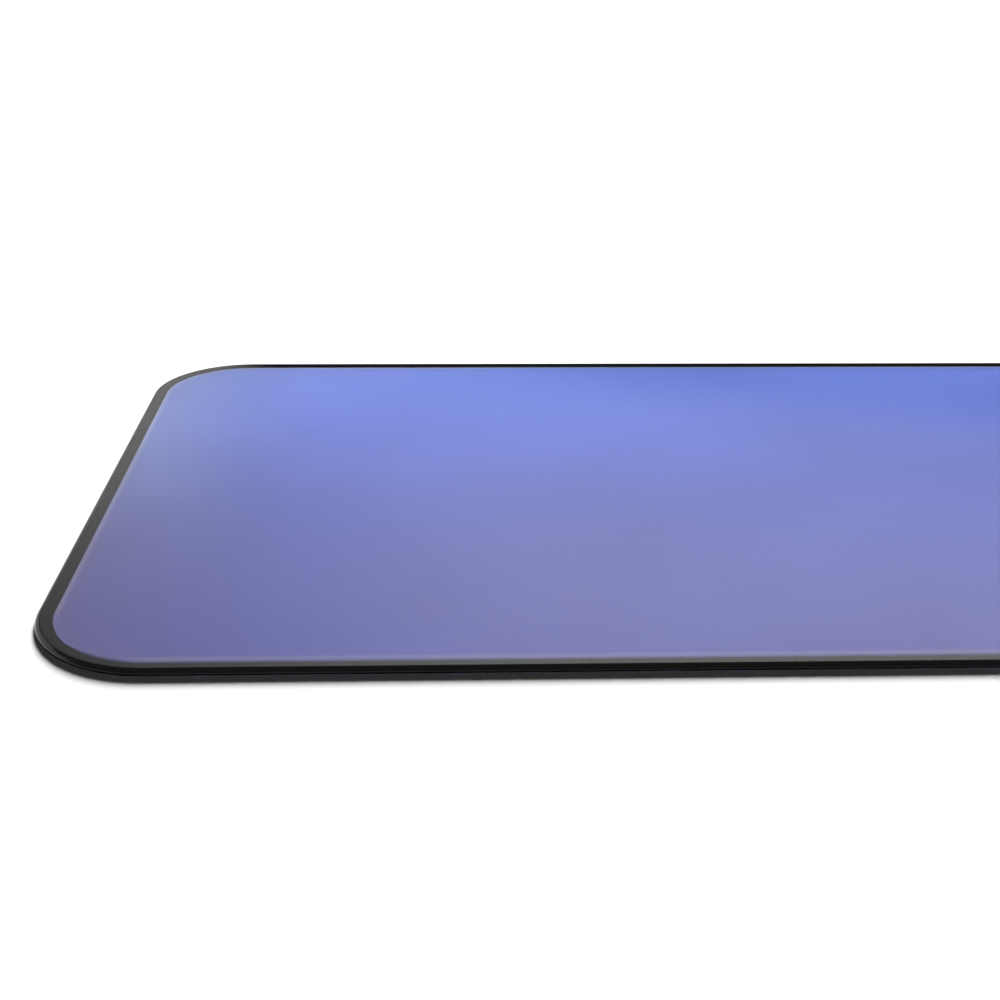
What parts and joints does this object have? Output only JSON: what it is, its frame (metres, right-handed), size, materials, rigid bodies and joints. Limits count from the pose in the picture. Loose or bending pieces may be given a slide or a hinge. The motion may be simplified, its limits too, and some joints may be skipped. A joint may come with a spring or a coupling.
{
  "type": "phone screen protector",
  "caption": "Thin rounded-rectangle pane of clear tempered glass with a curved ground edge and a black printed border, laid on a phone's front to guard its screen.",
  "frame": {"origin": "centre of the back face, the one that lies on the phone", "axes": "+X along the pane's length, +Y across its width, +Z out of the top face, towards the user's finger"},
  "size_m": [0.1454, 0.069, 0.0004],
  "materials": {
    "glass": "polished clear glass with a faint blue-violet coating",
    "black_print": "smooth opaque black ink, seen glossy through the glass"
  },
  "bodies": {
    "root": {"glass_pane": "glass", "black_border": "black_print"}
  },
  "joints": []
}
